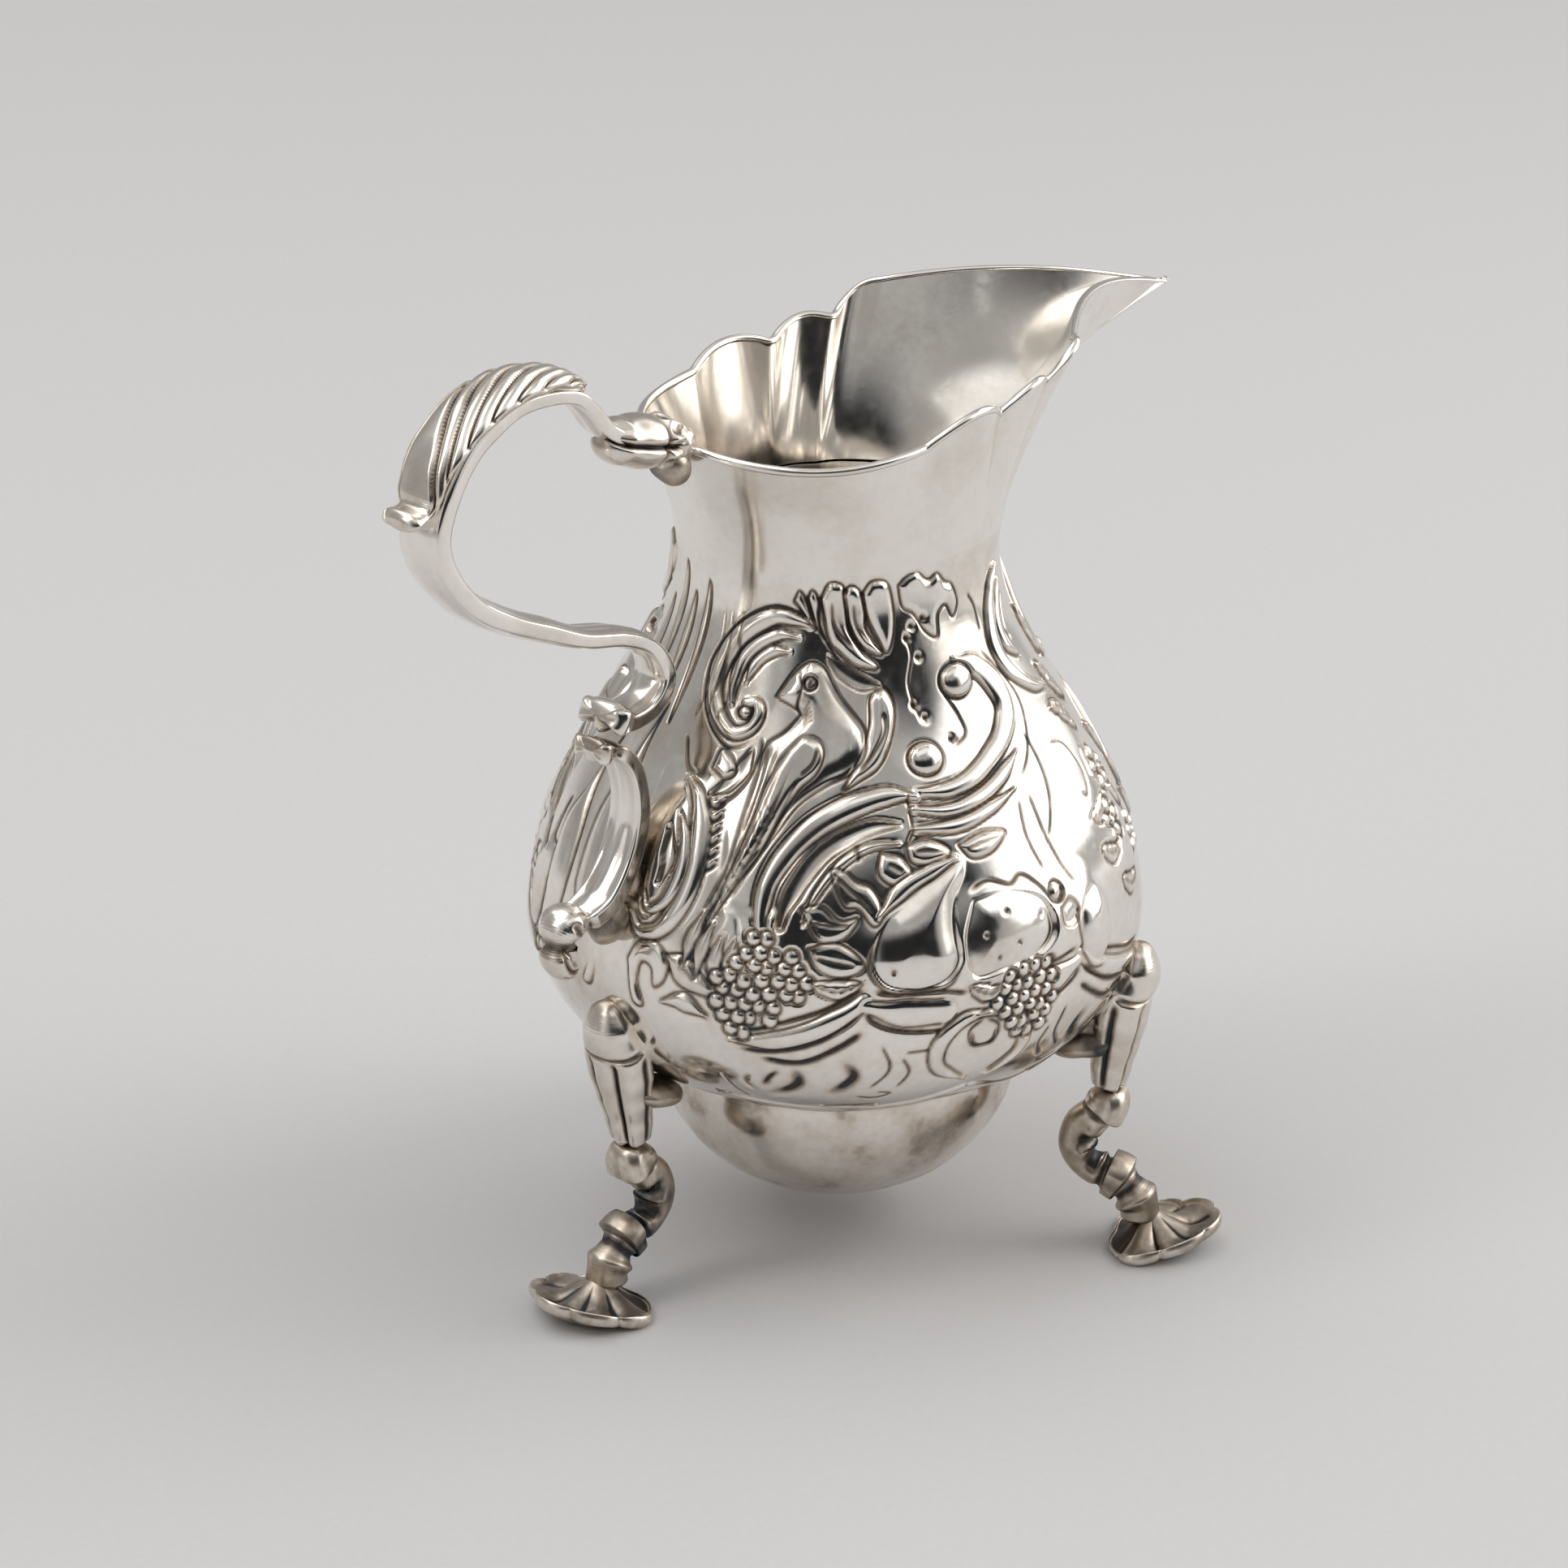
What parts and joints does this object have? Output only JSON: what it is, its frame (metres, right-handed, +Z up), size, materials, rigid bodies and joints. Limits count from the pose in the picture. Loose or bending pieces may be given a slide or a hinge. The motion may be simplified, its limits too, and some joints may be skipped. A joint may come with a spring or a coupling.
{
  "type": "cream jug",
  "caption": "Silver cream jug with a chased pear-shaped body, wavy rim with a drawn-out lip, double-scroll handle and legs with shell feet.",
  "frame": {"origin": "bottom centre of the object's box: on the table, midway between the handle's back and the lip's tip", "axes": "+Z up, +X towards the pouring lip, -X towards the handle, +Y to the left leg; the XZ plane is the mirror plane of the handle and lip"},
  "size_m": [0.1224, 0.0857, 0.1189],
  "materials": {
    "polished_silver": "polished sterling silver, softly worn, with dark tarnish in the chased lines",
    "cast_silver": "cast and burnished silver with tarnish in the flutes",
    "toned_silver": "cast silver, brown-grey tarnish in the hollows and bright on the edges",
    "solder": "dull grey-brown silver solder"
  },
  "bodies": {
    "root": {"body": "polished_silver", "handle_rim_bud": "polished_silver", "handle_upper_scroll": "polished_silver", "handle_leaf": "polished_silver", "handle_lower_scroll": "polished_silver", "handle_drop": "polished_silver", "handle_top_solder": "solder", "handle_foot_solder": "solder", "knee_rear": "cast_silver", "knee_left": "cast_silver", "knee_right": "cast_silver", "stalk_rear": "toned_silver", "stalk_left": "toned_silver", "stalk_right": "toned_silver", "shell_foot_rear": "toned_silver", "shell_foot_left": "toned_silver", "shell_foot_right": "toned_silver", "knee_solder_rear": "solder", "knee_solder_left": "solder", "knee_solder_right": "solder"}
  },
  "joints": []
}
